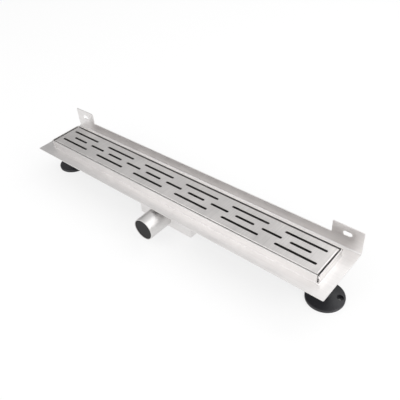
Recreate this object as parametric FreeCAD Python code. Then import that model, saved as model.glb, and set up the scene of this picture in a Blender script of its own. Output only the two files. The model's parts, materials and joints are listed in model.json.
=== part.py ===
import FreeCAD, Part
import math
import os

V = FreeCAD.Vector

# Linear shower channel drain, stainless sheet, side outlet, two levelling feet.
# Frame: X along the channel, Y towards the wall, Z up. Origin at the middle of the grate's top.

# Sheet metal
SHEET = 1.5
BEND_IN = 1.5

# Collar: the raised edge that the tiles meet
COLLAR_LENGTH = 600.0
COLLAR_WIDTH = 67.0
COLLAR_HEIGHT = 15.0
CORNER_SEAM = 1.4

# Tiling flange around the collar
FLANGE_END = 20.0
FLANGE_FRONT = 21.0
FLANGE_REAR = 18.8
FLANGE_CORNER_R = 1.5

# Upstand along the wall side, with one fixing tab at each end
UPSTAND_HEIGHT = 18.5
UPSTAND_BEND_IN = 3.0
TAB_WIDTH = 50.0
TAB_HEIGHT = 40.4
TAB_CORNER_R = 1.5
TAB_SLOT_LENGTH = 15.0
TAB_SLOT_WIDTH = 8.0
TAB_SLOT_RISE = 26.5

# Slotted grate
GRATE_GAP_SIDE = 2.0
GRATE_GAP_END = 2.5
GRATE_BEND_OUT = 2.0
SLOT_PITCH = 100.0
GRATE_SEAM = 0.3
SLOT_LONG = 71.0
SLOT_LONG_COUNT = 6
SLOT_SHORT = 36.0
SLOT_SHORT_COUNT = 11
SLOT_WIDTH = 4.5
SLOT_ROW = 15.0
RIB_ROW = 7.5
RIB_END_GAP = 8.0

# Trough below the collar
LEDGE_SIDE = 7.0
LEDGE_END = 15.5
RIM_LAP = 6.5
TROUGH_BEND_IN = 1.0
TROUGH_DEPTH_END = 13.5
TROUGH_DEPTH_MID = 17.5
TROUGH_FLAT = 60.0
TIE_X = 150.0
TIE_THICK = 3.0
TIE_HEIGHT = 8.0

# Sump box under the middle of the trough
BOX_LENGTH = 120.0
BOX_INSET = 1.5
BOX_BOTTOM = 66.5
BOX_BEND_IN = 1.0

# Outlet pipe and the plug that closes it for transport
PIPE_OD = 40.0
PIPE_WALL = 1.5
PIPE_AXIS = 41.2
PIPE_LENGTH = 50.0
PLUG_RECESS = 0.6
PLUG_DEPTH = 10.0
PLUG_WALL = 1.5

# Odour trap insert, lifted out through the channel
FUNNEL_WALL_GAP = 1.5
FUNNEL_THICK = 2.0
FUNNEL_THROAT = 2.0
SEAL_LAND = 3.0
SEAL_THICK = 1.5
SEAL_LIP = 0.5
CUP_HOLE_GAP = 1.0
CUP_WALL = 1.5
CUP_RIM = 45.0
CUP_FLOOR_GAP = 2.5
CUP_ROUND = 2.0
TUBE_SHARE = 0.75
TUBE_WALL = 1.5
TUBE_LIFT = 5.0
FIN_THICK = 2.0
FIN_COUNT = 3
STRAINER_INSET = 3.5
STRAINER_THICK = 1.5
STRAINER_SLOTS = 8
STRAINER_SLOT_WIDTH = 2.4
STRAINER_SLOT_GAP = 0.6
KNOB_D = 7.0
KNOB_NECK_D = 5.0
KNOB_HEIGHT = 7.0
KNOB_RIM = 1.5

# Levelling feet
FOOT_FROM_TROUGH = 12.0
BRACKET_THICK = 2.5
BRACKET_WIDTH = 26.0
BRACKET_REACH = 12.0
BRACKET_LEVEL = 45.0
BRACKET_BEND_IN = 1.5
BRACKET_CORNER_R = 5.0
STUD_D = 8.0
STUD_LENGTH = 48.5
STUD_CHAMFER = 1.0
STUD_SLOT_WIDTH = 1.2
STUD_SLOT_DEPTH = 2.0
STUD_HOLE_GAP = 0.5
NUT_BORE_GAP = 0.35
NUT_AF = 13.0
NUT_CHAMFER = 0.7
NUT_HEIGHT = 6.5
LOCK_NUT_HEIGHT = 4.0
INSTALL_HEIGHT = 76.0
PAD_D = 60.0
PAD_RIM = 4.0
PAD_DOME = 9.0
PAD_BOSS_D = 15.0
PAD_BOSS_HEIGHT = 15.0
PAD_WALL = 2.5
PAD_SKIN = 2.0
PAD_EDGE = 1.0
PAD_HOLE_D = 5.2
PAD_HOLE_SEAT_D = 10.4
PAD_HOLE_SEAT = 2.2
PAD_HOLE_WALL = 1.5
PAD_HOLE_R = 22.0
PAD_HOLE_TURN = 21.0
PAD_RIBS = 8
PAD_RIB_THICK = 1.6
PAD_RIB_BITE = 1.0

# Sizes that follow from the ones above
COL_X = COLLAR_LENGTH / 2 - SHEET
COL_Y = COLLAR_WIDTH / 2 - SHEET
Z_FLANGE = -COLLAR_HEIGHT
Z_RIM = Z_FLANGE - SHEET
X_END = COLLAR_LENGTH / 2 + FLANGE_END
Y_FRONT = -COLLAR_WIDTH / 2 - FLANGE_FRONT
Y_UP = COLLAR_WIDTH / 2 + FLANGE_REAR
TRO_X = COL_X - LEDGE_END
TRO_Y = COL_Y - LEDGE_SIDE
TRO_BEND_OUT = TROUGH_BEND_IN + SHEET
Z_WALL = Z_RIM - TRO_BEND_OUT
Z_FLOOR_END = Z_RIM - TROUGH_DEPTH_END
Z_FLOOR = Z_RIM - TROUGH_DEPTH_MID
GRATE_X = COL_X - GRATE_GAP_END
GRATE_Y = COL_Y - GRATE_GAP_SIDE
Z_BOX = -BOX_BOTTOM
PIPE_R = PIPE_OD / 2
PIPE_BORE_R = PIPE_R - PIPE_WALL
BOX_Y = COLLAR_WIDTH / 2 - BOX_INSET
Y_BOX = -BOX_Y
Y_MOUTH = Y_BOX - PIPE_LENGTH
FUNNEL_R = TRO_Y - FUNNEL_WALL_GAP
TRAP_HOLE_R = FUNNEL_R - SEAL_LAND
CUP_R = TRAP_HOLE_R - CUP_HOLE_GAP
TUBE_R = (CUP_R - CUP_WALL) * TUBE_SHARE
STRAINER_R = FUNNEL_R - STRAINER_INSET
FOOT_X = TRO_X + SHEET + FOOT_FROM_TROUGH
Z_PAD = -INSTALL_HEIGHT


def block(x0, x1, y0, y1, z0, z1):
    """Straight block between two corners."""
    return Part.makeBox(x1 - x0, y1 - y0, z1 - z0, V(x0, y0, z0))


def wire(points):
    """Closed outline. A point given as (middle, end) is the end of an arc through middle."""
    first = points[0]
    last = first
    edges = []
    for item in points[1:] + [first]:
        if isinstance(item, tuple):
            edges.append(Part.Arc(last, item[0], item[1]).toShape())
            last = item[1]
        else:
            if last.distanceToPoint(item) > 1e-7:
                edges.append(Part.LineSegment(last, item).toShape())
            last = item
    return Part.Wire(edges)


def solid(points, along):
    """Outline swept straight along a vector."""
    return Part.Face(wire(points)).extrude(along)


def turned(points, centre=(0.0, 0.0)):
    """Body of revolution about a vertical axis from (radius, height) points."""
    flat = [V(r, 0, z) for r, z in points]
    body = Part.Face(wire(flat)).revolve(V(0, 0, 0), V(0, 0, 1), 360)
    body.translate(V(centre[0], centre[1], 0))
    return body


def oblong(length, width, x, y, z0, z1):
    """Slot with round ends, long axis along X, cut straight down."""
    r = width / 2
    a = length / 2 - r
    pts = [
        V(x - a, y - r, z0),
        V(x + a, y - r, z0),
        (V(x + a + r, y, z0), V(x + a, y + r, z0)),
        V(x - a, y + r, z0),
        (V(x - a - r, y, z0), V(x - a, y - r, z0)),
    ]
    return solid(pts, V(0, 0, z1 - z0))


def ring(section, half_x, half_y):
    """Rectangular frame with mitred corners from a section of (outward, height) points."""
    def place(item, side):
        if isinstance(item[0], tuple):
            return (place(item[0], side), place(item[1], side))
        u, z = item
        return V(-reach, -(half_y + u), z) if side == 0 else V(half_x + u, -reach, z)

    flat = []
    for item in section:
        flat.extend(item if isinstance(item[0], tuple) else [item])
    out = max(u for u, z in flat)
    reach = max(half_x, half_y) + 2 * out
    low = min(z for u, z in flat) - 1
    high = max(z for u, z in flat) + 1
    front = solid([place(i, 0) for i in section], V(2 * reach, 0, 0))
    wedge = [
        V(-half_x, -half_y, low),
        V(-half_x - out, -half_y - out, low),
        V(half_x + out, -half_y - out, low),
        V(half_x, -half_y, low),
    ]
    front = front.common(solid(wedge, V(0, 0, high - low)))
    right = solid([place(i, 1) for i in section], V(0, 2 * reach, 0))
    wedge = [
        V(half_x, -half_y, low),
        V(half_x + out, -half_y - out, low),
        V(half_x + out, half_y + out, low),
        V(half_x, half_y, low),
    ]
    right = right.common(solid(wedge, V(0, 0, high - low)))
    rear = front.mirror(V(0, 0, 0), V(0, 1, 0))
    left = right.mirror(V(0, 0, 0), V(1, 0, 0))
    return front.fuse([right, rear, left])


def frame(in_x, in_y, x0, x1, y0, y1, z0, z1):
    """Flat plate with a rectangular opening."""
    return block(x0, x1, y0, y1, z0, z1).cut(block(-in_x, in_x, -in_y, in_y, z0 - 1, z1 + 1))


def mirrored(shape):
    """The same piece at the other end of the channel."""
    return shape.mirror(V(0, 0, 0), V(1, 0, 0))


def one(shape):
    """Merge coplanar faces and return the single solid."""
    shape = shape.removeSplitter()
    return shape.Solids[0] if len(shape.Solids) == 1 else shape


def corner_slits(shape, half_x, half_y, wall, gap, z0, z1):
    """Open the four upright corners where two folded walls meet."""
    for sx in (-1, 1):
        for sy in (-1, 1):
            x = sorted((sx * (half_x - gap), sx * (half_x + wall + 1)))
            y = sorted((sy * (half_y - gap), sy * (half_y + wall + 1)))
            shape = shape.cut(block(x[0], x[1], y[0], y[1], z0, z1))
    return shape


def make_body():
    """Flange, collar, wall upstand and fixing tabs, folded from one sheet."""
    c = SHEET + BEND_IN
    q = math.sqrt(0.5)
    section = [
        (0, 0),
        (SHEET, 0),
        (SHEET, Z_FLANGE + BEND_IN),
        ((c - BEND_IN * q, Z_FLANGE + BEND_IN - BEND_IN * q), (c, Z_FLANGE)),
        (c, Z_RIM),
        ((c - c * q, Z_FLANGE + BEND_IN - c * q), (0, Z_FLANGE + BEND_IN)),
    ]
    body = ring(section, COL_X, COL_Y)
    body = corner_slits(body, COL_X, COL_Y, SHEET, CORNER_SEAM, Z_FLANGE + BEND_IN, 1)

    flat_end = Y_UP - UPSTAND_BEND_IN
    plate = frame(COL_X + c, COL_Y + c, -X_END, X_END, Y_FRONT, flat_end, Z_RIM, Z_FLANGE)
    corners = [e for e in plate.Edges
               if abs(e.CenterOfMass.y - Y_FRONT) < 1e-6 and abs(abs(e.CenterOfMass.x) - X_END) < 1e-6]
    plate = plate.makeFillet(FLANGE_CORNER_R, corners)

    r_in = UPSTAND_BEND_IN
    r_out = r_in + SHEET
    top = Z_FLANGE + UPSTAND_HEIGHT
    zc = Z_FLANGE + r_in
    fold = [
        V(-X_END, flat_end, Z_FLANGE),
        (V(-X_END, flat_end + r_in * q, zc - r_in * q), V(-X_END, Y_UP, zc)),
        V(-X_END, Y_UP, top),
        V(-X_END, Y_UP + SHEET, top),
        V(-X_END, Y_UP + SHEET, zc),
        (V(-X_END, flat_end + r_out * q, zc - r_out * q), V(-X_END, flat_end, Z_RIM)),
    ]
    body = body.fuse([plate, solid(fold, V(2 * X_END, 0, 0))])

    high = Z_FLANGE + TAB_HEIGHT
    tab = block(X_END - TAB_WIDTH, X_END, Y_UP, Y_UP + SHEET, top - 1, high)
    corners = [e for e in tab.Edges if abs(e.CenterOfMass.z - high) < 1e-6 and e.Length < SHEET + 1e-6]
    tab = tab.makeFillet(TAB_CORNER_R, corners)
    body = body.fuse([tab, mirrored(tab)])
    slot = oblong(TAB_SLOT_LENGTH, TAB_SLOT_WIDTH, X_END - TAB_WIDTH / 2, 0, -SHEET, 2 * SHEET)
    slot.rotate(V(0, 0, 0), V(1, 0, 0), -90)
    slot.translate(V(0, Y_UP, Z_FLANGE + TAB_SLOT_RISE))
    return one(body.cut(slot).cut(mirrored(slot)))


def trough_block(grow, top):
    """The trough's form: floor falls from both ends to a flat middle; long lower edges are folds."""
    x = TRO_X + grow
    y = TRO_Y + grow
    flat = TROUGH_FLAT / 2
    pts = [
        V(-x, -y, top),
        V(x, -y, top),
        V(x, -y, Z_FLOOR_END - grow),
        V(flat, -y, Z_FLOOR - grow),
        V(-flat, -y, Z_FLOOR - grow),
        V(-x, -y, Z_FLOOR_END - grow),
    ]
    form = solid(pts, V(0, 2 * y, 0))
    low = [e for e in form.Edges
           if e.CenterOfMass.z < Z_FLOOR_END - grow + 1e-6 and abs(abs(e.CenterOfMass.y) - y) < 1e-6
           and abs(abs(e.CenterOfMass.x) - x) > 1e-6]
    form = form.makeFillet(BEND_IN + grow, low)
    return form


def make_trough():
    """Folded trough with a flat rim that laps under the flange, and the hole for the trap."""
    shell = trough_block(SHEET, Z_WALL).cut(trough_block(0, Z_WALL + 1))
    r = TRO_BEND_OUT
    q = math.sqrt(0.5)
    i = TROUGH_BEND_IN
    section = [
        (0, Z_WALL),
        ((r - r * q, Z_WALL + r * q), (r, Z_RIM)),
        (r, Z_RIM - SHEET),
        ((r - i * q, Z_WALL + i * q), (SHEET, Z_WALL)),
    ]
    bend = ring(section, TRO_X, TRO_Y)
    rx = COLLAR_LENGTH / 2 + RIM_LAP
    ry = COLLAR_WIDTH / 2 + RIM_LAP
    rim = frame(TRO_X + r, TRO_Y + r, -rx, rx, -ry, ry, Z_RIM - SHEET, Z_RIM)
    hole = Part.makeCylinder(TRAP_HOLE_R, 3 * SHEET, V(0, 0, Z_FLOOR - 2 * SHEET))
    return one(shell.fuse([bend, rim]).cut(hole))


def make_ties():
    """Cross ties that keep the trough's walls apart and carry the grate's ribs."""
    tie = block(TIE_X - TIE_THICK / 2, TIE_X + TIE_THICK / 2, -TRO_Y, TRO_Y, Z_RIM - TIE_HEIGHT, Z_RIM)
    return tie, mirrored(tie)


def make_box():
    """Sump box welded under the rim, notched around the trough and holed for the outlet."""
    def form(x, y, low, top, r):
        b = block(-x, x, -y, y, low, top)
        edges = [e for e in b.Edges if abs(e.CenterOfMass.z - top) > 1e-6]
        return b.makeFillet(r, edges)

    x = BOX_LENGTH / 2
    top = Z_RIM - SHEET
    box = form(x, BOX_Y, Z_BOX, top, BOX_BEND_IN + SHEET)
    box = box.cut(form(x - SHEET, BOX_Y - SHEET, Z_BOX + SHEET, top + 1, BOX_BEND_IN))
    box = box.cut(trough_block(SHEET, top + 1))
    bore = Part.makeCylinder(PIPE_BORE_R, 2 * SHEET, V(0, Y_BOX - SHEET / 2, -PIPE_AXIS), V(0, 1, 0))
    return one(box.cut(bore))


def make_pipe():
    """Side outlet pipe, butt-welded to the box's front."""
    pipe = Part.makeCylinder(PIPE_R, PIPE_LENGTH, V(0, Y_MOUTH, -PIPE_AXIS), V(0, 1, 0))
    return pipe.cut(Part.makeCylinder(PIPE_BORE_R, PIPE_LENGTH, V(0, Y_MOUTH, -PIPE_AXIS), V(0, 1, 0)))


def make_plug():
    """Cup-shaped plug pressed into the pipe's mouth."""
    y = Y_MOUTH + PLUG_RECESS
    cup = Part.makeCylinder(PIPE_BORE_R, PLUG_DEPTH, V(0, y, -PIPE_AXIS), V(0, 1, 0))
    return cup.cut(Part.makeCylinder(PIPE_BORE_R - PLUG_WALL, PLUG_DEPTH, V(0, y + PLUG_WALL, -PIPE_AXIS),
                                     V(0, 1, 0)))


def make_grate():
    """Slotted plate with its four edges folded down to stand on the trough's ledge."""
    ro = GRATE_BEND_OUT
    ri = ro - SHEET
    q = math.sqrt(0.5)
    section = [
        (0, 0),
        ((ro * q, -ro + ro * q), (ro, -ro)),
        (ro, Z_RIM),
        (ro - SHEET, Z_RIM),
        (ro - SHEET, -ro),
        ((ri * q, -ro + ri * q), (0, -SHEET)),
    ]
    bx = GRATE_X - ro
    by = GRATE_Y - ro
    grate = ring(section, bx, by)
    grate = corner_slits(grate, GRATE_X - SHEET, GRATE_Y - SHEET, SHEET, GRATE_SEAM, Z_RIM - 1, -ro)
    grate = grate.fuse(block(-bx, bx, -by, by, -SHEET, 0))
    cuts = []
    for k in range(SLOT_LONG_COUNT):
        x = (k - (SLOT_LONG_COUNT - 1) / 2) * SLOT_PITCH
        for row in (-1, 1):
            cuts.append(oblong(SLOT_LONG, SLOT_WIDTH, x, row * SLOT_ROW, -2 * SHEET, 1))
    for k in range(SLOT_SHORT_COUNT):
        x = (k - (SLOT_SHORT_COUNT - 1) / 2) * SLOT_PITCH / 2
        cuts.append(oblong(SLOT_SHORT, SLOT_WIDTH, x, 0, -2 * SHEET, 1))
    return one(grate.cut(Part.makeCompound(cuts)))


def make_ribs():
    """Upright strips under the grate between its slot rows."""
    x = GRATE_X - RIB_END_GAP
    rib = block(-x, x, RIB_ROW - SHEET / 2, RIB_ROW + SHEET / 2, Z_RIM, -SHEET)
    return rib, rib.mirror(V(0, 0, 0), V(0, 1, 0))


def make_trap():
    """Seal ring, funnel with dip tube, cup, and the hair strainer on top."""
    z_seal = Z_FLOOR + SEAL_THICK
    z_top = z_seal + FUNNEL_THICK
    z_throat = z_seal - FUNNEL_THROAT
    cup_in = CUP_R - CUP_WALL
    cup_low = Z_BOX + SHEET + CUP_FLOOR_GAP
    cup_floor = cup_low + CUP_WALL
    tube_in = TUBE_R - TUBE_WALL
    tube_low = cup_floor + TUBE_LIFT

    lip_r = FUNNEL_R + SEAL_LIP
    seal = turned([(TRAP_HOLE_R, Z_FLOOR), (lip_r, Z_FLOOR), (lip_r, z_seal), (TRAP_HOLE_R, z_seal)])
    funnel = turned([
        (tube_in, tube_low),
        (TUBE_R, tube_low),
        (TUBE_R, z_throat),
        (TUBE_R + FUNNEL_THROAT, z_seal),
        (FUNNEL_R, z_seal),
        (FUNNEL_R, z_top),
        (TUBE_R + FUNNEL_THROAT, z_top),
        (tube_in, z_throat),
    ])
    height = z_top - tube_low
    core = Part.makeCylinder(tube_in, height, V(0, 0, tube_low))
    gauge = Part.makeCylinder(cup_in, height, V(0, 0, tube_low)).cut(core)
    fins = []
    for k in range(FIN_COUNT):
        fin = block(0, CUP_R, -FIN_THICK / 2, FIN_THICK / 2, tube_low + TUBE_WALL, -CUP_RIM + FIN_THICK)
        fin.rotate(V(0, 0, 0), V(0, 0, 1), 90 + 360.0 / FIN_COUNT * k)
        fins.append(fin.common(gauge))
    funnel = one(funnel.fuse(fins))

    cup = turned([
        (0, cup_low),
        (CUP_R - CUP_ROUND, cup_low),
        (CUP_R, cup_low + CUP_ROUND),
        (CUP_R, -CUP_RIM),
        (cup_in, -CUP_RIM),
        (cup_in, cup_floor + CUP_ROUND / 2),
        (cup_in - CUP_ROUND / 2, cup_floor),
        (0, cup_floor),
    ])

    knob_r = KNOB_D / 2
    neck_r = KNOB_NECK_D / 2
    s_top = z_top + STRAINER_THICK
    k_top = s_top + KNOB_HEIGHT
    k_low = k_top - KNOB_RIM
    strainer = turned([
        (0, z_top),
        (STRAINER_R, z_top),
        (STRAINER_R, s_top),
        (neck_r, s_top),
        (neck_r, k_low - (knob_r - neck_r)),
        (knob_r, k_low),
        (knob_r, k_top),
        (0, k_top),
    ])
    slot_in = knob_r + STRAINER_SLOT_GAP
    slot_out = tube_in - STRAINER_SLOT_GAP
    cuts = []
    for k in range(STRAINER_SLOTS):
        middle = (slot_in + slot_out) / 2
        slot = oblong(slot_out - slot_in, STRAINER_SLOT_WIDTH, middle, 0, z_top - 1, s_top + 1)
        slot.rotate(V(0, 0, 0), V(0, 0, 1), 360.0 * k / STRAINER_SLOTS)
        cuts.append(slot)
    strainer = one(strainer.cut(Part.makeCompound(cuts)))
    return seal, funnel, cup, strainer


def make_bracket():
    """Folded bracket on the trough's end wall, with a clearance hole for the stud."""
    x0 = TRO_X + SHEET
    x1 = FOOT_X + BRACKET_REACH
    t = BRACKET_THICK
    ri = BRACKET_BEND_IN
    ro = ri + t
    q = math.sqrt(0.5)
    w = BRACKET_WIDTH / 2
    top = Z_WALL
    level = -BRACKET_LEVEL
    cx = x0 + ro
    cz = level + ri
    pts = [
        V(x0, -w, top),
        V(x0, -w, cz),
        (V(cx - ro * q, -w, cz - ro * q), V(cx, -w, level - t)),
        V(x1, -w, level - t),
        V(x1, -w, level),
        V(cx, -w, level),
        (V(cx - ri * q, -w, cz - ri * q), V(x0 + t, -w, cz)),
        V(x0 + t, -w, top),
    ]
    bracket = solid(pts, V(0, 2 * w, 0))
    corners = [e for e in bracket.Edges
               if abs(e.CenterOfMass.x - x1) < 1e-6 and abs(abs(e.CenterOfMass.y) - w) < 1e-6]
    bracket = bracket.makeFillet(BRACKET_CORNER_R, corners)
    hole = Part.makeCylinder(STUD_D / 2 + STUD_HOLE_GAP, 3 * t, V(FOOT_X, 0, level - 2 * t))
    return bracket.cut(hole)


def make_stud():
    """Threaded stud with a screwdriver slot on top, its lower end moulded into the pad."""
    r = STUD_D / 2
    low = Z_PAD + PAD_WALL
    top = low + STUD_LENGTH
    chamfer = STUD_CHAMFER
    outline = [(0, low), (r, low), (r, top - chamfer), (r - chamfer, top), (0, top)]
    stud = turned(outline, (FOOT_X, 0))
    half = STUD_SLOT_WIDTH / 2
    return stud.cut(block(FOOT_X - STUD_D, FOOT_X + STUD_D, -half, half, top - STUD_SLOT_DEPTH, top + 1))


def make_nut(z0, height):
    """Hexagon nut with chamfered corners."""
    r = NUT_AF / math.sqrt(3)
    pts = [V(r * math.cos(math.radians(60 * k)), r * math.sin(math.radians(60 * k)), z0) for k in range(6)]
    nut = solid(pts, V(0, 0, height))
    c = NUT_CHAMFER
    z1 = z0 + height
    gauge = turned([(0, z0), (NUT_AF / 2, z0), (r, z0 + c), (r, z1 - c), (NUT_AF / 2, z1), (0, z1)])
    nut = nut.common(gauge)
    nut = nut.cut(Part.makeCylinder(STUD_D / 2 + NUT_BORE_GAP, height, V(0, 0, z0)))
    nut.translate(V(FOOT_X, 0, 0))
    return nut


def make_pad():
    """Round foot pad: shallow dome with a boss for the stud, ribbed underneath, two screw seats."""
    R = PAD_D / 2
    b = PAD_BOSS_D / 2
    e = PAD_EDGE
    w = PAD_WALL
    z0 = Z_PAD
    rim = z0 + PAD_RIM
    dome = z0 + PAD_DOME
    boss = z0 + PAD_BOSS_HEIGHT
    skin = turned([
        (R - w, z0),
        (R, z0),
        (R, rim - e),
        (R - e, rim),
        (b + e, dome),
        (b, dome + e),
        (b, boss - e),
        (b - e, boss),
        (0, boss),
        (0, z0),
        (b, z0),
        (b, dome - w),
        (R - w, rim - PAD_SKIN),
    ])
    under = turned([
        (0, z0),
        (R - e, z0),
        (R - e, rim - PAD_RIB_BITE),
        (b + e, dome - PAD_RIB_BITE),
        (0, dome - PAD_RIB_BITE),
    ])
    ribs = []
    for k in range(PAD_RIBS):
        rib = block(b - e, R - w / 2, -PAD_RIB_THICK / 2, PAD_RIB_THICK / 2, z0, dome)
        rib.rotate(V(0, 0, 0), V(0, 0, 1), PAD_HOLE_TURN + 360.0 / PAD_RIBS * (k + 0.5))
        ribs.append(rib.common(under))
    holes = []
    for k in (0, 1):
        a = math.radians(PAD_HOLE_TURN + 180 * k)
        x = PAD_HOLE_R * math.cos(a)
        y = PAD_HOLE_R * math.sin(a)
        seat_r = PAD_HOLE_SEAT_D / 2
        ribs.append(Part.makeCylinder(seat_r + PAD_HOLE_WALL, PAD_DOME, V(x, y, z0)).common(under))
        holes.append(Part.makeCylinder(PAD_HOLE_D / 2, PAD_DOME, V(x, y, z0)))
        holes.append(Part.makeCylinder(seat_r, PAD_DOME, V(x, y, z0 + PAD_HOLE_SEAT)))
    pad = skin.fuse(ribs)
    for hole in holes:
        pad = pad.cut(hole)
    pad = one(pad.cut(Part.makeCylinder(STUD_D / 2, PAD_BOSS_HEIGHT, V(0, 0, z0 + w))))
    pad.translate(V(FOOT_X, 0, 0))
    return pad


nodes = {}
nodes["channel_body"] = make_body()
nodes["trough"] = make_trough()
nodes["cross_tie_right"], nodes["cross_tie_left"] = make_ties()
nodes["sump_box"] = make_box()
nodes["outlet_pipe"] = make_pipe()
nodes["outlet_plug"] = make_plug()
nodes["grate"] = make_grate()
nodes["grate_rib_rear"], nodes["grate_rib_front"] = make_ribs()
nodes["trap_seal"], nodes["trap_funnel"], nodes["trap_cup"], nodes["hair_strainer"] = make_trap()

right = {
    "foot_bracket": make_bracket(),
    "adjusting_nut": make_nut(-BRACKET_LEVEL - BRACKET_THICK - NUT_HEIGHT, NUT_HEIGHT),
    "lock_nut": make_nut(-BRACKET_LEVEL, LOCK_NUT_HEIGHT),
    "foot_stud": make_stud(),
    "foot_pad": make_pad(),
}
for name, shape in right.items():
    nodes[name + "_right"] = shape
    nodes[name + "_left"] = mirrored(shape)

os.makedirs("parts", exist_ok=True)
for name, shape in nodes.items():
    shape.exportStep("parts/" + name + ".step")
    b = shape.BoundBox
    print("%-20s solids %d valid %s volume %9.1f  x %.1f %.1f  y %.1f %.1f  z %.1f %.1f" % (
        name, len(shape.Solids), shape.isValid(), shape.Volume,
        b.XMin, b.XMax, b.YMin, b.YMax, b.ZMin, b.ZMax))
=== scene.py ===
# %% [markdown]
# # A linear shower drain in Blender
# The steel channel, its grate, the outlet and the levelling feet arrive as finished solids.
# This lesson puts them in front of a camera, lights them like a catalogue picture and gives
# every surface its finish. It also makes the few things that are too fine for the solids:
# the screw threads of the feet and the weld beads.

# %% Load the fixed frame
import json
import math

import bpy
import numpy as np
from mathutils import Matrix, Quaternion, Vector

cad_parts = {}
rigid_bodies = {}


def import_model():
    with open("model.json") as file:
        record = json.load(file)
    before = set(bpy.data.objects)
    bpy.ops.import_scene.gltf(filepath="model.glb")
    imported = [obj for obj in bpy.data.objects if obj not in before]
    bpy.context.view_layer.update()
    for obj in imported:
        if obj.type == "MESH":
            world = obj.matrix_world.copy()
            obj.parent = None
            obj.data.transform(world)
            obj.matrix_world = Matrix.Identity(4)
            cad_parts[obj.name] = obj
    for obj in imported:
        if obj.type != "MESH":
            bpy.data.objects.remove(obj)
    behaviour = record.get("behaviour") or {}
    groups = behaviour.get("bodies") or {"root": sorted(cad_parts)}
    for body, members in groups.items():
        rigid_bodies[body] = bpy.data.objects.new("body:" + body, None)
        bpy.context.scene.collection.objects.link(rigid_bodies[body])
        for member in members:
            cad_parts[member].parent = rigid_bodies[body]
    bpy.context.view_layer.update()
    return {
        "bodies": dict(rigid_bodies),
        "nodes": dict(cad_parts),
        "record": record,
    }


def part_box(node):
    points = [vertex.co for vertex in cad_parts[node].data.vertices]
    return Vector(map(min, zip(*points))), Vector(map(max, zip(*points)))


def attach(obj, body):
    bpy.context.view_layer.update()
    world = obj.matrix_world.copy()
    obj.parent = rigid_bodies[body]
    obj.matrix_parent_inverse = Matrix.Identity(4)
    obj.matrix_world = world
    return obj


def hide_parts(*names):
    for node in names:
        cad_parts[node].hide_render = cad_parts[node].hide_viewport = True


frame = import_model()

MM = 0.001
scene = bpy.context.scene

# %% [markdown]
# ## The camera
# The picture was taken from the right, in front and above, with a normal lens held about
# 0.87 m away. A camera is easiest to read as a place, a point that it looks at and a small roll.
# The roll matters here: the catalogue camera was tilted a little, and without it every
# long edge of the drain would run at the wrong angle. The Standard view shows a colour as it is
# written, which keeps white paper white.

# %% Place the camera
CAMERA_PLACE = Vector((0.5078, -0.4671, 0.5274))
CAMERA_AIM = Vector((0.03635, 0.0230, -0.0300))
CAMERA_ROLL_DEG = -5.27
CAMERA_LENS_MM = 45.78
SENSOR_MM = 36.0
CLIP_NEAR = 0.02


def make_camera():
    """Look from the place to the aim with +Z up, then roll about the line of sight."""
    data = bpy.data.cameras.new("camera")
    data.lens = CAMERA_LENS_MM
    data.sensor_width = SENSOR_MM
    data.clip_start = CLIP_NEAR
    camera = bpy.data.objects.new("camera", data)
    scene.collection.objects.link(camera)
    level = (CAMERA_AIM - CAMERA_PLACE).to_track_quat("-Z", "Y")
    roll = Quaternion((0, 0, 1), math.radians(CAMERA_ROLL_DEG))
    camera.rotation_mode = "QUATERNION"
    camera.rotation_quaternion = level @ roll
    camera.location = CAMERA_PLACE
    scene.camera = camera
    return camera


camera = make_camera()
scene.view_settings.view_transform = "Standard"
print("camera looks from", tuple(round(v, 3) for v in camera.location))

# %% [markdown]
# ## Building node materials with few words
# Every finish below is a small graph of shader nodes. Typing each node by hand is long, so one
# helper adds a node, sets or joins its inputs by name and returns it. A value that is the same
# all over the piece is set on the shader's own socket.

# %% Node helpers
def add(tree, kind, inputs=None, **settings):
    """Add one shader node; settings are its properties, inputs its sockets by name or number."""
    node = tree.nodes.new(kind)
    for key, value in settings.items():
        setattr(node, key, value)
    for key, value in (inputs or {}).items():
        if isinstance(value, bpy.types.NodeSocket):
            tree.links.new(value, node.inputs[key])
        else:
            node.inputs[key].default_value = value
    return node


def colour(r, g, b):
    """A base colour as the four numbers that a socket wants."""
    return (r, g, b, 1.0)


def grey(level):
    """A colour without a hue, the same level in red, green and blue."""
    return colour(level, level, level)


def start_material(name):
    """An empty node material with its output and a Principled shader."""
    made = bpy.data.materials.new(name)
    made.use_nodes = True
    made.node_tree.nodes.clear()
    shader = add(made.node_tree, "ShaderNodeBsdfPrincipled")
    add(made.node_tree, "ShaderNodeOutputMaterial", {"Surface": shader.outputs["BSDF"]})
    return made, made.node_tree, shader


print("node helpers ready")

# %% [markdown]
# ## Floor, surroundings and lamps
# The catalogue shows the drain on pure white. A white floor under soft light gives that, and it
# keeps the faint shadows that hold the object down. Rays from the camera and from shiny surfaces
# see most of the white as glow, which no shadow can darken. So the background comes out white,
# the shadows stay light, and the floor doesn't throw too much light back up. Seen from below
# the floor is clear, so that the underside of the drain can be looked at.
# A floor that glows would also shine up through the screw holes of the feet, so it doesn't glow
# in a small round patch under each hole. That darker patch is painted shade, standing in for the
# dark at the bottom of each hole.
# When a foot is screwed out, the floor has to give way. It rides on the right foot, and a
# Floor constraint keeps it under the left one too, so it always meets the lower foot.

# %% Make the floor
FLOOR_HALF = 6.0
FLOOR_BOUNCE = 0.62
FLOOR_SEEN = 0.25
FLOOR_GLOW = 0.72
HOLE_AWAY = 22.0 * MM
HOLE_TURN_DEG = 21.0
# painted shade: radius of the glowless patch under each screw hole
PATCH_RADIUS = 6.0 * MM

floor_z = min(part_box("foot_pad_right")[0].z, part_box("foot_pad_left")[0].z)


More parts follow.
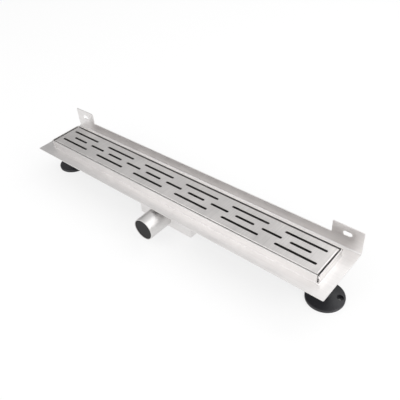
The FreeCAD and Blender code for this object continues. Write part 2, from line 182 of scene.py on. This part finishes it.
def open_paper(tree):
    """1 where the paper lies open, 0 in the painted shade under a screw hole: the product over the
    holes of (distance > the patch radius).
    """
    where = add(tree, "ShaderNodeTexCoord")
    where = add(tree, "ShaderNodeVectorMath", {0: where.outputs["Object"], 1: (1.0, 1.0, 0.0)},
                operation="MULTIPLY")
    share = 1.0
    for pad, side in (("foot_pad_right", 1), ("foot_pad_left", -1)):
        middle = (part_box(pad)[0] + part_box(pad)[1]) / 2
        for turn in (HOLE_TURN_DEG, HOLE_TURN_DEG + 180.0):
            a = math.radians(turn)
            hole = (middle.x + side * HOLE_AWAY * math.cos(a),
                    middle.y + HOLE_AWAY * math.sin(a), 0.0)
            away = add(tree, "ShaderNodeVectorMath", {0: where.outputs[0], 1: hole},
                       operation="DISTANCE")
            outside = add(tree, "ShaderNodeMath", {0: away.outputs["Value"], 1: PATCH_RADIUS},
                          operation="GREATER_THAN")
            share = add(tree, "ShaderNodeMath", {0: outside.outputs[0], 1: share},
                        operation="MULTIPLY").outputs[0]
    return share


def floor_material():
    """Colour = mix(bounce, seen, ray) and glow = FLOOR_GLOW * ray * open paper, where ray is 1
    for camera, mirror and glass rays and open paper is 0 in the painted shade under the screw
    holes. The back of the sheet is clear."""
    made = bpy.data.materials.new("floor_paper")
    made.use_nodes = True
    tree = made.node_tree
    tree.nodes.clear()
    ray = add(tree, "ShaderNodeLightPath")
    seen = add(tree, "ShaderNodeMath",
               {0: ray.outputs["Is Camera Ray"], 1: ray.outputs["Is Glossy Ray"]},
               operation="MAXIMUM")
    seen = add(tree, "ShaderNodeMath", {0: seen.outputs[0], 1: ray.outputs["Is Transmission Ray"]},
               operation="MAXIMUM")
    white = add(tree, "ShaderNodeMix",
                {"Factor": seen.outputs[0], 6: grey(FLOOR_BOUNCE), 7: grey(FLOOR_SEEN)},
                data_type="RGBA")
    paper = add(tree, "ShaderNodeBsdfDiffuse", {"Color": white.outputs[2]})
    glow = add(tree, "ShaderNodeMath", {0: seen.outputs[0], 1: FLOOR_GLOW}, operation="MULTIPLY")
    # painted shade: the glow is left out in a small patch under each screw hole
    glow = add(tree, "ShaderNodeMath", {0: glow.outputs[0], 1: open_paper(tree)},
               operation="MULTIPLY")
    glow = add(tree, "ShaderNodeEmission", {"Strength": glow.outputs[0]})
    top = add(tree, "ShaderNodeAddShader", {0: paper.outputs[0], 1: glow.outputs[0]})
    clear = add(tree, "ShaderNodeBsdfTransparent")
    side = add(tree, "ShaderNodeNewGeometry")
    both = add(tree, "ShaderNodeMixShader",
               {0: side.outputs["Backfacing"], 1: top.outputs[0], 2: clear.outputs[0]})
    add(tree, "ShaderNodeOutputMaterial", {"Surface": both.outputs[0]})
    return made


def make_floor():
    """A square sheet under the pads, carried by the feet's bodies."""
    h = FLOOR_HALF
    mesh = bpy.data.meshes.new("floor")
    mesh.from_pydata([(-h, -h, floor_z), (h, -h, floor_z), (h, h, floor_z), (-h, h, floor_z)],
                     [], [(0, 1, 2, 3)])
    mesh.materials.append(floor_material())
    floor = bpy.data.objects.new("floor", mesh)
    scene.collection.objects.link(floor)
    floor.parent = frame["bodies"]["foot_r"]
    under = floor.constraints.new("FLOOR")
    under.target = frame["bodies"]["foot_l"]
    under.floor_location = "FLOOR_NEGATIVE_Z"


make_floor()
print("floor at z =", round(floor_z / MM, 2), "mm")

# %% [markdown]
# The surroundings are a plain dome, as in a white studio tent that is lit from overhead, from
# the right and from the front. Sheet metal shows whatever stands opposite, so these three
# glows are what turns flat steel into a surface with a gentle run of tone from one end to the
# other. Each glow is one dot product: a direction against an axis, cut off below zero.

# %% Surroundings
SKY_GLOWS = (((0, 0, 1), 0.776), ((1, 0, 0), 1.12), ((0, -1, 0), 0.544))
SKY_SEEN = 1.0
SKY_WHITE = grey(1.0)


def make_sky():
    """radiance = sum of strength * max(0, direction . axis); the camera sees plain white."""
    world = bpy.data.worlds.new("studio")
    world.use_nodes = True
    tree = world.node_tree
    tree.nodes.clear()
    way = add(tree, "ShaderNodeTexCoord")
    total = 0.0
    for axis, strength in SKY_GLOWS:
        lean = add(tree, "ShaderNodeVectorMath", {0: way.outputs["Generated"], 1: axis},
                   operation="DOT_PRODUCT")
        lean = add(tree, "ShaderNodeMath", {0: lean.outputs["Value"], 1: 0.0}, operation="MAXIMUM")
        total = add(tree, "ShaderNodeMath", {0: lean.outputs[0], 1: strength, 2: total},
                    operation="MULTIPLY_ADD").outputs[0]
    light = add(tree, "ShaderNodeBackground", {"Color": SKY_WHITE, "Strength": total})
    seen = add(tree, "ShaderNodeBackground", {"Color": SKY_WHITE, "Strength": SKY_SEEN})
    ray = add(tree, "ShaderNodeLightPath")
    mix = add(tree, "ShaderNodeMixShader",
              {0: ray.outputs["Is Camera Ray"], 1: light.outputs[0], 2: seen.outputs[0]})
    add(tree, "ShaderNodeOutputWorld", {"Surface": mix.outputs[0]})
    scene.world = world


make_sky()
print("dome glows:", SKY_GLOWS)

# %% [markdown]
# Large soft boxes do the rest. One hangs behind the drain on the right and is mirrored by the
# flat top surfaces at that end and by the pipe, and a weak one beside it by the grate's middle.
# One stands in front on the left and lights the upright faces by way of the flange. The last
# one, on the right, brightens that end of the drain and gives the black feet their sheen.

# %% Soft boxes
def soft_box(name, place, aim, size, radiance):
    """A rectangular lamp. With area A and radiance L it gives pi * A * L watts."""
    data = bpy.data.lights.new(name, "AREA")
    data.shape = "RECTANGLE"
    data.size, data.size_y = size
    data.energy = math.pi * size[0] * size[1] * radiance
    lamp = bpy.data.objects.new(name, data)
    scene.collection.objects.link(lamp)
    lamp.location = place
    lamp.rotation_mode = "QUATERNION"
    lamp.rotation_quaternion = (Vector(aim) - Vector(place)).to_track_quat("-Z", "Y")
    lamp.visible_camera = False


# name, place, point it is aimed at, width and height (all in metres), radiance
SOFT_BOXES = (
    ("box_behind", (0.45, 1.10, 1.22), (0.2, 0.0, 0.0), (1.3, 0.9), 1.36),
    ("box_middle", (-0.95, 0.95, 1.10), (0.0, 0.0, 0.0), (1.2, 0.8), 0.36),
    ("box_front", (-0.6, -1.15, 1.10), (0.0, 0.0, 0.0), (1.5, 0.8), 1.40),
    ("box_right", (1.45, 0.10, 0.80), (0.1, 0.0, 0.0), (0.7, 0.6), 3.6),
)
for values in SOFT_BOXES:
    soft_box(*values)

# %% [markdown]
# ## Grain, the effect that all the metals share
# Rolled sheet, a brushed grate and a drawn tube all carry fine lines in one direction, and a
# cloudy unevenness a few centimetres across. Both come from noise: stretched along the grain it
# makes lines, unstretched it makes clouds. The effect is one node group with named sockets, and
# each metal places it with its own stretch.

# %% Grain group
CLOUDS_PER_M = 25.0
NOISE_DETAIL = 3.0
LINE_ROUGHNESS = 0.6
CLOUD_ROUGHNESS = 0.55


def socket(tree, name, way, kind="NodeSocketFloat"):
    """A named input or output of a node group."""
    tree.interface.new_socket(name=name, in_out=way, socket_type=kind)


def make_grain_group():
    """lines = noise(place * stretch), clouds = noise(place * CLOUDS_PER_M), both 0 to 1."""
    tree = bpy.data.node_groups.new("metal_grain", "ShaderNodeTree")
    socket(tree, "Place", "INPUT", "NodeSocketVector")
    socket(tree, "Stretch", "INPUT", "NodeSocketVector")
    socket(tree, "Lines", "OUTPUT")
    socket(tree, "Clouds", "OUTPUT")
    given = add(tree, "NodeGroupInput")
    drawn = add(tree, "ShaderNodeVectorMath",
                {0: given.outputs["Place"], 1: given.outputs["Stretch"]}, operation="MULTIPLY")
    lines = add(tree, "ShaderNodeTexNoise",
                {"Vector": drawn.outputs[0], "Scale": 1.0, "Detail": NOISE_DETAIL,
                 "Roughness": LINE_ROUGHNESS})
    clouds = add(tree, "ShaderNodeTexNoise",
                 {"Vector": given.outputs["Place"], "Scale": CLOUDS_PER_M,
                  "Detail": NOISE_DETAIL, "Roughness": CLOUD_ROUGHNESS})
    add(tree, "NodeGroupOutput", {"Lines": lines.outputs[0], "Clouds": clouds.outputs[0]})
    return tree


grain_group = make_grain_group()
print("group sockets:", [s.name for s in grain_group.interface.items_tree])

# %% [markdown]
# Two helpers put the group to use. The first starts a material whose bump is the lines of the
# grain. The second lets a factor between 0 and 1 move colour and roughness a little to both
# sides of their mean.

# %% Grained materials
def start_grained(name, stretch, depth):
    """A material with the grain group laid over object space and bump = lines * depth."""
    made, tree, shader = start_material(name)
    where = add(tree, "ShaderNodeTexCoord")
    grain = add(tree, "ShaderNodeGroup",
                {"Place": where.outputs["Object"], "Stretch": stretch}, node_tree=grain_group)
    relief = add(tree, "ShaderNodeBump",
                 {"Height": grain.outputs["Lines"], "Strength": 1.0, "Distance": depth})
    tree.links.new(relief.outputs[0], shader.inputs["Normal"])
    return made, tree, shader, grain


def vary(tree, shader, factor, tone, tone_swing, rough, rough_swing):
    """Colour = tone * (1 +- tone swing) and roughness = rough +- rough swing, by the factor."""
    low = colour(*(c * (1 - tone_swing) for c in tone))
    high = colour(*(c * (1 + tone_swing) for c in tone))
    tint = add(tree, "ShaderNodeMix", {"Factor": factor, 6: low, 7: high}, data_type="RGBA")
    polish = add(tree, "ShaderNodeMapRange",
                 {"Value": factor, "To Min": rough - rough_swing, "To Max": rough + rough_swing})
    tree.links.new(tint.outputs[2], shader.inputs["Base Color"])
    tree.links.new(polish.outputs[0], shader.inputs["Roughness"])


print("grain helpers ready")

# %% [markdown]
# ## Metals
# A metal is mostly its reflection: the base colour tints it, the roughness blurs it. The grain
# moves both a little and also gives a shallow bump, so the sheen breaks into fine lines.
# The numbers differ by process. Sheet from the mill is smooth with soft clouds, the grate is
# brushed across its length, the tube is drawn along its axis, nuts are turned and threads are
# rolled. What lies under the grate is only pickled after welding, which leaves it dull and a
# little darker. Most of its darkness is painted shade, which makes the slots read black.

# %% Metal finishes
GRAIN_LOW = 0.6
GRAIN_HIGH = 1.4
ALONG_X = (12.0, 450.0, 450.0)
ALONG_Y = (450.0, 8.0, 450.0)
ALL_WAYS = (700.0, 700.0, 700.0)


def metal(name, tone, rough, stretch, line_depth, rough_swing, tone_swing):
    """Steel, varied by (lines + clouds - GRAIN_LOW) / (GRAIN_HIGH - GRAIN_LOW), cut to 0 to 1."""
    made, tree, shader, grain = start_grained(name, stretch, line_depth)
    spread = add(tree, "ShaderNodeMath", {0: grain.outputs["Lines"], 1: grain.outputs["Clouds"]},
                 operation="ADD")
    even = add(tree, "ShaderNodeMapRange",
               {"Value": spread.outputs[0], "From Min": GRAIN_LOW, "From Max": GRAIN_HIGH})
    vary(tree, shader, even.outputs[0], tone, tone_swing, rough, rough_swing)
    shader.inputs["Metallic"].default_value = 1.0
    return made


# name, tone, roughness, stretch per metre, depth of the lines in metres, swing of the roughness,
# swing of the tone
METALS = {
    "sheet_steel": ("mill_sheet", (0.794, 0.776, 0.768), 0.38, ALONG_X, 10e-6, 0.04, 0.08),
    "grate_steel": ("brushed_grate", (0.696, 0.674, 0.663), 0.38, ALONG_Y, 20e-6, 0.05, 0.16),
    # dull pickled steel under the grate; its dark tone is painted shade
    "pickled_steel_painted_shade": ("pickled_sheet_painted_shade", (0.30, 0.295, 0.29), 0.60, ALL_WAYS, 10e-6, 0.05, 0.06),
    "pipe_steel": ("drawn_tube", (0.73, 0.718, 0.71), 0.45, ALONG_Y, 8e-6, 0.04, 0.06),
    "strainer_steel": ("stamped_strainer", (0.58, 0.575, 0.56), 0.30, ALL_WAYS, 8e-6, 0.04, 0.06),
    "bracket_steel": ("folded_bracket", (0.60, 0.595, 0.58), 0.33, ALL_WAYS, 10e-6, 0.05, 0.06),
    "nut_steel": ("turned_nut", (0.57, 0.56, 0.54), 0.28, ALL_WAYS, 10e-6, 0.05, 0.06),
    "stud_steel": ("rolled_thread", (0.57, 0.56, 0.54), 0.26, ALL_WAYS, 8e-6, 0.04, 0.06),
}
finishes = {slot: metal(*values) for slot, values in METALS.items()}
print("metals:", sorted(finishes))

# %% [markdown]
# ## Plastics and rubber
# The feet, the trap and the plug are moulded. A moulding tool is spark-eroded, which leaves a
# very fine even grain. The lines of the group, stretched alike in all directions, are that
# grain, and its clouds change tone and gloss slightly.

# %% Moulded finishes
MOULD_TONE_SWING = 0.15
MOULD_ROUGH_SWING = 0.05


def moulded(name, tone, rough, shine, grain_per_m, grain_depth):
    """Plastic or rubber, varied by the clouds. Shine is the strength of the reflection at the
    surface, 0.5 for smooth plastic."""
    made, tree, shader, grain = start_grained(name, 3 * (grain_per_m,), grain_depth)
    vary(tree, shader, grain.outputs["Clouds"], tone, MOULD_TONE_SWING, rough, MOULD_ROUGH_SWING)
    shader.inputs["Specular IOR Level"].default_value = shine
    return made


# name, tone, roughness, shine, grains per metre, depth of the grain in metres
MOULDINGS = {
    "pad_plastic": ("foot_black", (0.016, 0.016, 0.019), 0.36, 0.40, 1500.0, 30e-6),
    "plug_plastic": ("plug_black", (0.020, 0.019, 0.020), 0.55, 0.20, 1500.0, 30e-6),
    "trap_plastic": ("trap_grey", (0.060, 0.060, 0.062), 0.42, 0.50, 1200.0, 20e-6),
    "seal_rubber": ("seal_black", (0.020, 0.020, 0.020), 0.70, 0.30, 900.0, 40e-6),
}
finishes.update({slot: moulded(*values) for slot, values in MOULDINGS.items()})
print("finishes:", len(finishes))

# %% [markdown]
# Each solid names the material slot that it takes its finish from, so dressing the whole
# drain is one loop. Only the sheets under the grate differ: they are dull because nobody
# polishes them, and dark with painted shade.

# %% Dress the solids
UNDER_GRATE = ("trough", "cross_tie", "grate_rib")

for part in frame["record"]["subparts"]:
    solid = frame["nodes"][part["node"]]
    # the sheets under the grate take the dull steel whose dark tone is painted shade
    hidden = part["node"].startswith(UNDER_GRATE)
    solid.data.materials.clear()
    solid.data.materials.append(finishes["pickled_steel_painted_shade" if hidden else part["material_slot"]])

# %% [markdown]
# ## Surfaces from arrays
# The new pieces are grids of points. One helper turns such a grid into a closed mesh: it joins
# neighbours into quads, wraps round where the surface closes on itself and puts a fan of
# triangles over each open end. The sign of the enclosed volume says whether the faces look
# outwards, and they are turned if not.

# %% Grid to mesh
SHARP_DEG = 35.0


def closed_mesh(name, points, looped=False):
    """points is rows x columns x 3. Columns close round. The rows close round too if looped,
    otherwise the first and last rows are capped by a fan about their mean point."""
    rows, cols = points.shape[:2]
    index = np.arange(rows * cols).reshape(rows, cols)
    low = index if looped else index[:-1]
    high = np.roll(index, -1, axis=0) if looped else index[1:]
    quads = np.stack([low, np.roll(low, -1, axis=1), np.roll(high, -1, axis=1), high], axis=-1)
    faces = quads.reshape(-1, 4)
    verts = points.reshape(-1, 3)
    caps = np.zeros((0, 3), dtype=int)
    if not looped:
        first, last = index[0], index[-1]
        mid = np.full(cols, rows * cols)
        caps = np.concatenate([np.stack([np.roll(first, -1), first, mid], axis=-1),
                               np.stack([last, np.roll(last, -1), mid + 1], axis=-1)])
        verts = np.concatenate([verts, points[[0, -1]].mean(axis=1)])
    tris = np.concatenate([faces[:, [0, 1, 2]], faces[:, [0, 2, 3]], caps])
    a, b, c = (verts[tris[:, k]] for k in range(3))
    if np.einsum("ij,ij->i", a, np.cross(b, c)).sum() < 0:
        faces, caps = faces[:, ::-1], caps[:, ::-1]
    mesh = bpy.data.meshes.new(name)
    mesh.from_pydata(verts.tolist(), [], faces.tolist() + caps.tolist())
    return mesh


def place_piece(name, mesh, finish, body, sharp_deg=SHARP_DEG):
    """Smooth a finished mesh, dress it and let it ride on a body."""
    mesh.shade_smooth()
    mesh.set_sharp_from_angle(angle=math.radians(sharp_deg))
    mesh.materials.append(finishes[finish])
    piece = bpy.data.objects.new(name, mesh)
    scene.collection.objects.link(piece)
    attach(piece, body)
    return piece


print("mesh helpers ready")

# %% [markdown]
# ## Screw threads
# A metric thread is a helix, and a helix is only a phase: the radius at height z and angle a
# depends on z / pitch minus a / full turn. That one formula over a grid of heights and angles is
# the whole thread, crests and roots flat as on a real M8 stud. Its ends are chamfered by
# limiting the radius near them. The slot for a screwdriver is cut afterwards with a Boolean,
# because a slot has nothing to do with the grid of the helix.

# %% Threaded studs
THREAD_PITCH = 1.25 * MM
THREAD_DEPTH = 0.6134 * THREAD_PITCH
CREST_SHARE = 0.125
ROOT_SHARE = 0.25
STUD_CHAMFER = 1.0 * MM
STEPS_PER_TURN = 40
ROWS_PER_PITCH = 14
DRIVER_SLOT_HALF = 0.6 * MM
DRIVER_SLOT_DEPTH = 2.0 * MM


def stud_surface(low, high):
    """radius = R - depth * clip((s - crest) / (1 - root - crest), 0, 1),
    with s = |2 * frac(z / pitch - a / turn) - 1|, and never more than the chamfer allows."""
    centre = (low + high) / 2
    radius = (high.x - low.x) / 2
    rows = int((high.z - low.z) / THREAD_PITCH * ROWS_PER_PITCH)
    z = np.linspace(low.z, high.z, rows)[:, None]
    a = np.linspace(0, 2 * np.pi, STEPS_PER_TURN, endpoint=False)[None, :]
    s = np.abs(2 * np.mod(z / THREAD_PITCH - a / (2 * np.pi), 1) - 1)
    cut = np.clip((s - CREST_SHARE) / (1 - ROOT_SHARE - CREST_SHARE), 0, 1)
    r = radius - THREAD_DEPTH * cut
    to_end = np.minimum(z - low.z, high.z - z)
    r = np.minimum(r, radius - STUD_CHAMFER + to_end)
    return np.stack([centre.x + r * np.cos(a), centre.y + r * np.sin(a), z + 0 * a], axis=-1)


def box_points(low, high):
    """The box between two corners as a 2 x 4 grid: bottom outline, top outline."""
    flat = [(low[0], low[1]), (high[0], low[1]), (high[0], high[1]), (low[0], high[1])]
    return np.array([[(x, y, z) for x, y in flat] for z in (low[2], high[2])])


def cut_mesh(mesh, cutter):
    """mesh minus cutter, worked out by a Boolean modifier on throwaway objects."""
    body = bpy.data.objects.new("cut_body", mesh)
    tool = bpy.data.objects.new("cut_tool", cutter)
    scene.collection.objects.link(body)
    scene.collection.objects.link(tool)
    cut = body.modifiers.new("cut", "BOOLEAN")
    cut.operation = "DIFFERENCE"
    cut.solver = "EXACT"
    cut.object = tool
    graph = bpy.context.evaluated_depsgraph_get()
    made = bpy.data.meshes.new_from_object(body.evaluated_get(graph))
    bpy.data.objects.remove(body)
    bpy.data.objects.remove(tool)
    return made


for side, body in (("right", "foot_r"), ("left", "foot_l")):
    low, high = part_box("foot_stud_" + side)
    points = stud_surface(low, high)
    reach = high.x - low.x
    slot_low = (low.x - reach, -DRIVER_SLOT_HALF, high.z - DRIVER_SLOT_DEPTH)
    slot_high = (high.x + reach, DRIVER_SLOT_HALF, high.z + reach)
    cutter = closed_mesh("driver_slot", box_points(slot_low, slot_high))
    mesh = cut_mesh(closed_mesh("stud_thread_" + side, points), cutter)
    stud = place_piece("stud_thread_" + side, mesh, "stud_steel", body)
    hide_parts("foot_stud_" + side)
    print("stud", side, "faces", len(mesh.polygons))

# %% [markdown]
# ## Weld beads
# The real drain is welded from folded sheets. A fillet weld fills the corner between two
# surfaces: it has one leg along each, and its back is a little rounder than a straight line.
# The welder's steady dabs leave ripples, which are curved because the pool freezes last in
# the middle. All welds here come from one function that is given a path along the corner and
# the two directions of the legs.

# %% Bead surface
RIPPLE_PITCH = 1.3 * MM
RIPPLE_HEIGHT = 0.07
RIPPLE_CURVE = 0.45
BEAD_STEPS = 9
BEAD_ROOT = 0.12
BEAD_STEP = 0.26 * MM
BEAD_TIP = 0.1
BEAD_SHARP_DEG = 60.0
FEWEST_POINTS = 3


def bead_mesh(name, path, leg_a, leg_b, size, looped, tip=BEAD_TIP):
    """point = corner + size * k * (cos t * a + sin t * b), t from 0 to a quarter turn,
    k = (1 + 1 / (cos t + sin t)) / 2, times 1 + height * cos(turn * (s / pitch - curve * sin 2t)).
    s is the length along the path. Open beads shrink to the share called tip at both ends."""
    gaps = np.linalg.norm(np.roll(path, -1, axis=0) - path, axis=1)
    s = np.concatenate([[0], np.cumsum(gaps[:-1])])
    length = s[-1] + (gaps[-1] if looped else 0)
    pitch = length / max(1, round(length / RIPPLE_PITCH))
    t = np.linspace(0, np.pi / 2, BEAD_STEPS)[None, :]
    k = (1 + 1 / (np.cos(t) + np.sin(t))) / 2
    phase = s[:, None] / pitch - RIPPLE_CURVE * np.sin(2 * t)
    ripple = 1 + RIPPLE_HEIGHT * np.cos(2 * np.pi * phase)
    end = np.ones_like(s)
    if not looped:
        end = tip + (1 - tip) * np.sqrt(np.clip(np.minimum(s, s[-1] - s) / size, 0, 1))
    k = size * k * ripple * end[:, None]
    a, b, corner = (v[:, None, :] for v in (leg_a, leg_b, path))
    back = corner + (k * np.cos(t))[..., None] * a + (k * np.sin(t))[..., None] * b
    root = corner - BEAD_ROOT * size * (a + b)
    return closed_mesh(name, np.concatenate([back, root], axis=1), looped)


def along(start, end):
    """Points from start to end at the bead's step."""
    start, end = np.array(start), np.array(end)
    count = max(FEWEST_POINTS, int(np.linalg.norm(end - start) / BEAD_STEP))
    return start + np.linspace(0, 1, count)[:, None] * (end - start)


def fixed(path, way):
    """The same leg direction at every point of a path."""
    return np.tile(np.array(way, dtype=float), (len(path), 1))


print("bead step", round(BEAD_STEP / MM, 2), "mm")

# %% [markdown]
# The outlet pipe has a bead all round where it meets the box: the path is a circle, one leg
# runs outwards over the box's face and the other along the pipe. The box hangs from the
# trough's rim on a bead that follows its outline with rounded corners.

# %% Beads on the outlet and the box
PIPE_BEAD = 2.2 * MM
BOX_BEAD = 1.8 * MM
BOX_CORNER = 2.5 * MM
CORNER_STEPS = 16


def circle(centre, radius):
    """Points and outward directions of a circle in the XZ plane."""
    count = int(2 * np.pi * radius / BEAD_STEP)
    a = np.linspace(0, 2 * np.pi, count, endpoint=False)
    out = np.stack([np.cos(a), 0 * a, np.sin(a)], axis=-1)
    return np.array(centre) + radius * out, out


def rounded_rectangle(low, high, z, radius):
    """Points and outward directions of a level rectangle with round corners.
    Every direction a owns the corner centre of its quadrant; straights fill up between."""
    turn = np.linspace(0, np.pi / 2, CORNER_STEPS)
    paths, outs = [], []
    for quarter in range(4):
        a = turn + quarter * np.pi / 2
        out = np.stack([np.cos(a), np.sin(a), 0 * a], axis=-1)
        middle = a.mean()
        x = (high.x - radius) if np.cos(middle) > 0 else (low.x + radius)
        y = (high.y - radius) if np.sin(middle) > 0 else (low.y + radius)
        paths.append(np.array([x, y, z]) + radius * out)
        outs.append(out)
    path, out = [], []
    for k in range(4):
        path.append(paths[k])
        out.append(outs[k])
        straight = along(paths[k][-1], paths[(k + 1) % 4][0])[1:-1]
        path.append(straight)
        out.append(fixed(straight, outs[k][-1]))
    return np.concatenate(path), np.concatenate(out)


pipe_low, pipe_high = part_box("outlet_pipe")
box_low, box_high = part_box("sump_box")
pipe_radius = (pipe_high.x - pipe_low.x) / 2
pipe_centre = ((pipe_low.x + pipe_high.x) / 2, box_low.y, (pipe_low.z + pipe_high.z) / 2)
path, out = circle(pipe_centre, pipe_radius)
mesh = bead_mesh("weld_outlet", path, out, fixed(path, (0, -1, 0)), PIPE_BEAD, True)
place_piece("weld_outlet", mesh, "sheet_steel", "drain", BEAD_SHARP_DEG)
print("outlet bead", len(mesh.polygons), "faces")

path, out = rounded_rectangle(box_low, box_high, box_high.z, BOX_CORNER)
mesh = bead_mesh("weld_box", path, out, fixed(path, (0, 0, -1)), BOX_BEAD, True)
place_piece("weld_box", mesh, "sheet_steel", "drain", BEAD_SHARP_DEG)
print("box bead", len(mesh.polygons), "faces")

# %% [markdown]
# The brackets of the feet are welded up both sides to the trough's end walls, and the
# trough's rim is stitched to the underside of the flange with short beads. The collar's four
# upright corners are open seams that a tack, ground flush, holds together at the top. Each of
# these is one straight run, so a list of starts, ends and leg directions is enough.

# %% Beads on the brackets, the rim and the corners
COLLAR_HALF = (300.0 * MM, 33.5 * MM)
TACK_BEAD = 1.5 * MM
TACK_LENGTH = 4.5 * MM
TACK_TIP = 1.0
BRACKET_BEAD = 2.0 * MM
BRACKET_BEAD_TOP = 1.5 * MM
BRACKET_BEAD_LOW = 12.0 * MM
STITCH_BEAD = 1.4 * MM
STITCH_LENGTH = 18.0 * MM
STITCH_PITCH = 96.0 * MM
STITCHES = 7
END_STITCH_AWAY = 0.8 * STITCH_LENGTH
END_STITCH_HALF = STITCH_LENGTH / 3


def straight_beads(name, runs, size, tip=BEAD_TIP):
    """One piece for each run of (start, end, leg a, leg b)."""
    faces = 0
    for number, (start, end, a, b) in enumerate(runs):
        path = along(start, end)
        mesh = bead_mesh(name, path, fixed(path, a), fixed(path, b), size, False, tip)
        place_piece(name + "_%d" % (number + 1), mesh, "sheet_steel", "drain", BEAD_SHARP_DEG)
        faces += len(mesh.polygons)
    print(name, len(runs), "runs", faces, "faces")


runs = []
for side, sign in (("right", 1), ("left", -1)):
    low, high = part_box("foot_bracket_" + side)
    wall = low.x if sign > 0 else high.x
    for y, way in ((low.y, -1), (high.y, 1)):
        top = high.z - BRACKET_BEAD_TOP
        bottom = high.z - BRACKET_BEAD_LOW
        runs.append(((wall, y, bottom), (wall, y, top), (0, way, 0), (sign, 0, 0)))
straight_beads("weld_bracket", runs, BRACKET_BEAD)

rim_low, rim_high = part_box("trough")
flange_under = rim_high.z
runs = []
for k in range(STITCHES):
    x = (k - (STITCHES - 1) / 2) * STITCH_PITCH
    for y, way in ((rim_low.y, -1), (rim_high.y, 1)):
        start = (x - STITCH_LENGTH / 2, y, flange_under)
        end = (x + STITCH_LENGTH / 2, y, flange_under)
        runs.append((start, end, (0, way, 0), (0, 0, -1)))
for x, way in ((rim_low.x, -1), (rim_high.x, 1)):
    for y in (-END_STITCH_AWAY, END_STITCH_AWAY):
        start = (x, y - END_STITCH_HALF, flange_under)
        end = (x, y + END_STITCH_HALF, flange_under)
        runs.append((start, end, (way, 0, 0), (0, 0, -1)))
straight_beads("weld_stitch", runs, STITCH_BEAD)

runs = []
for x_way in (1, -1):
    for y_way in (1, -1):
        x = x_way * (COLLAR_HALF[0] - TACK_BEAD)
        y = y_way * (COLLAR_HALF[1] - TACK_BEAD)
        runs.append(((x, y, -TACK_LENGTH), (x, y, 0.0), (x_way, 0, 0), (0, y_way, 0)))
straight_beads("weld_corner", runs, TACK_BEAD, TACK_TIP)
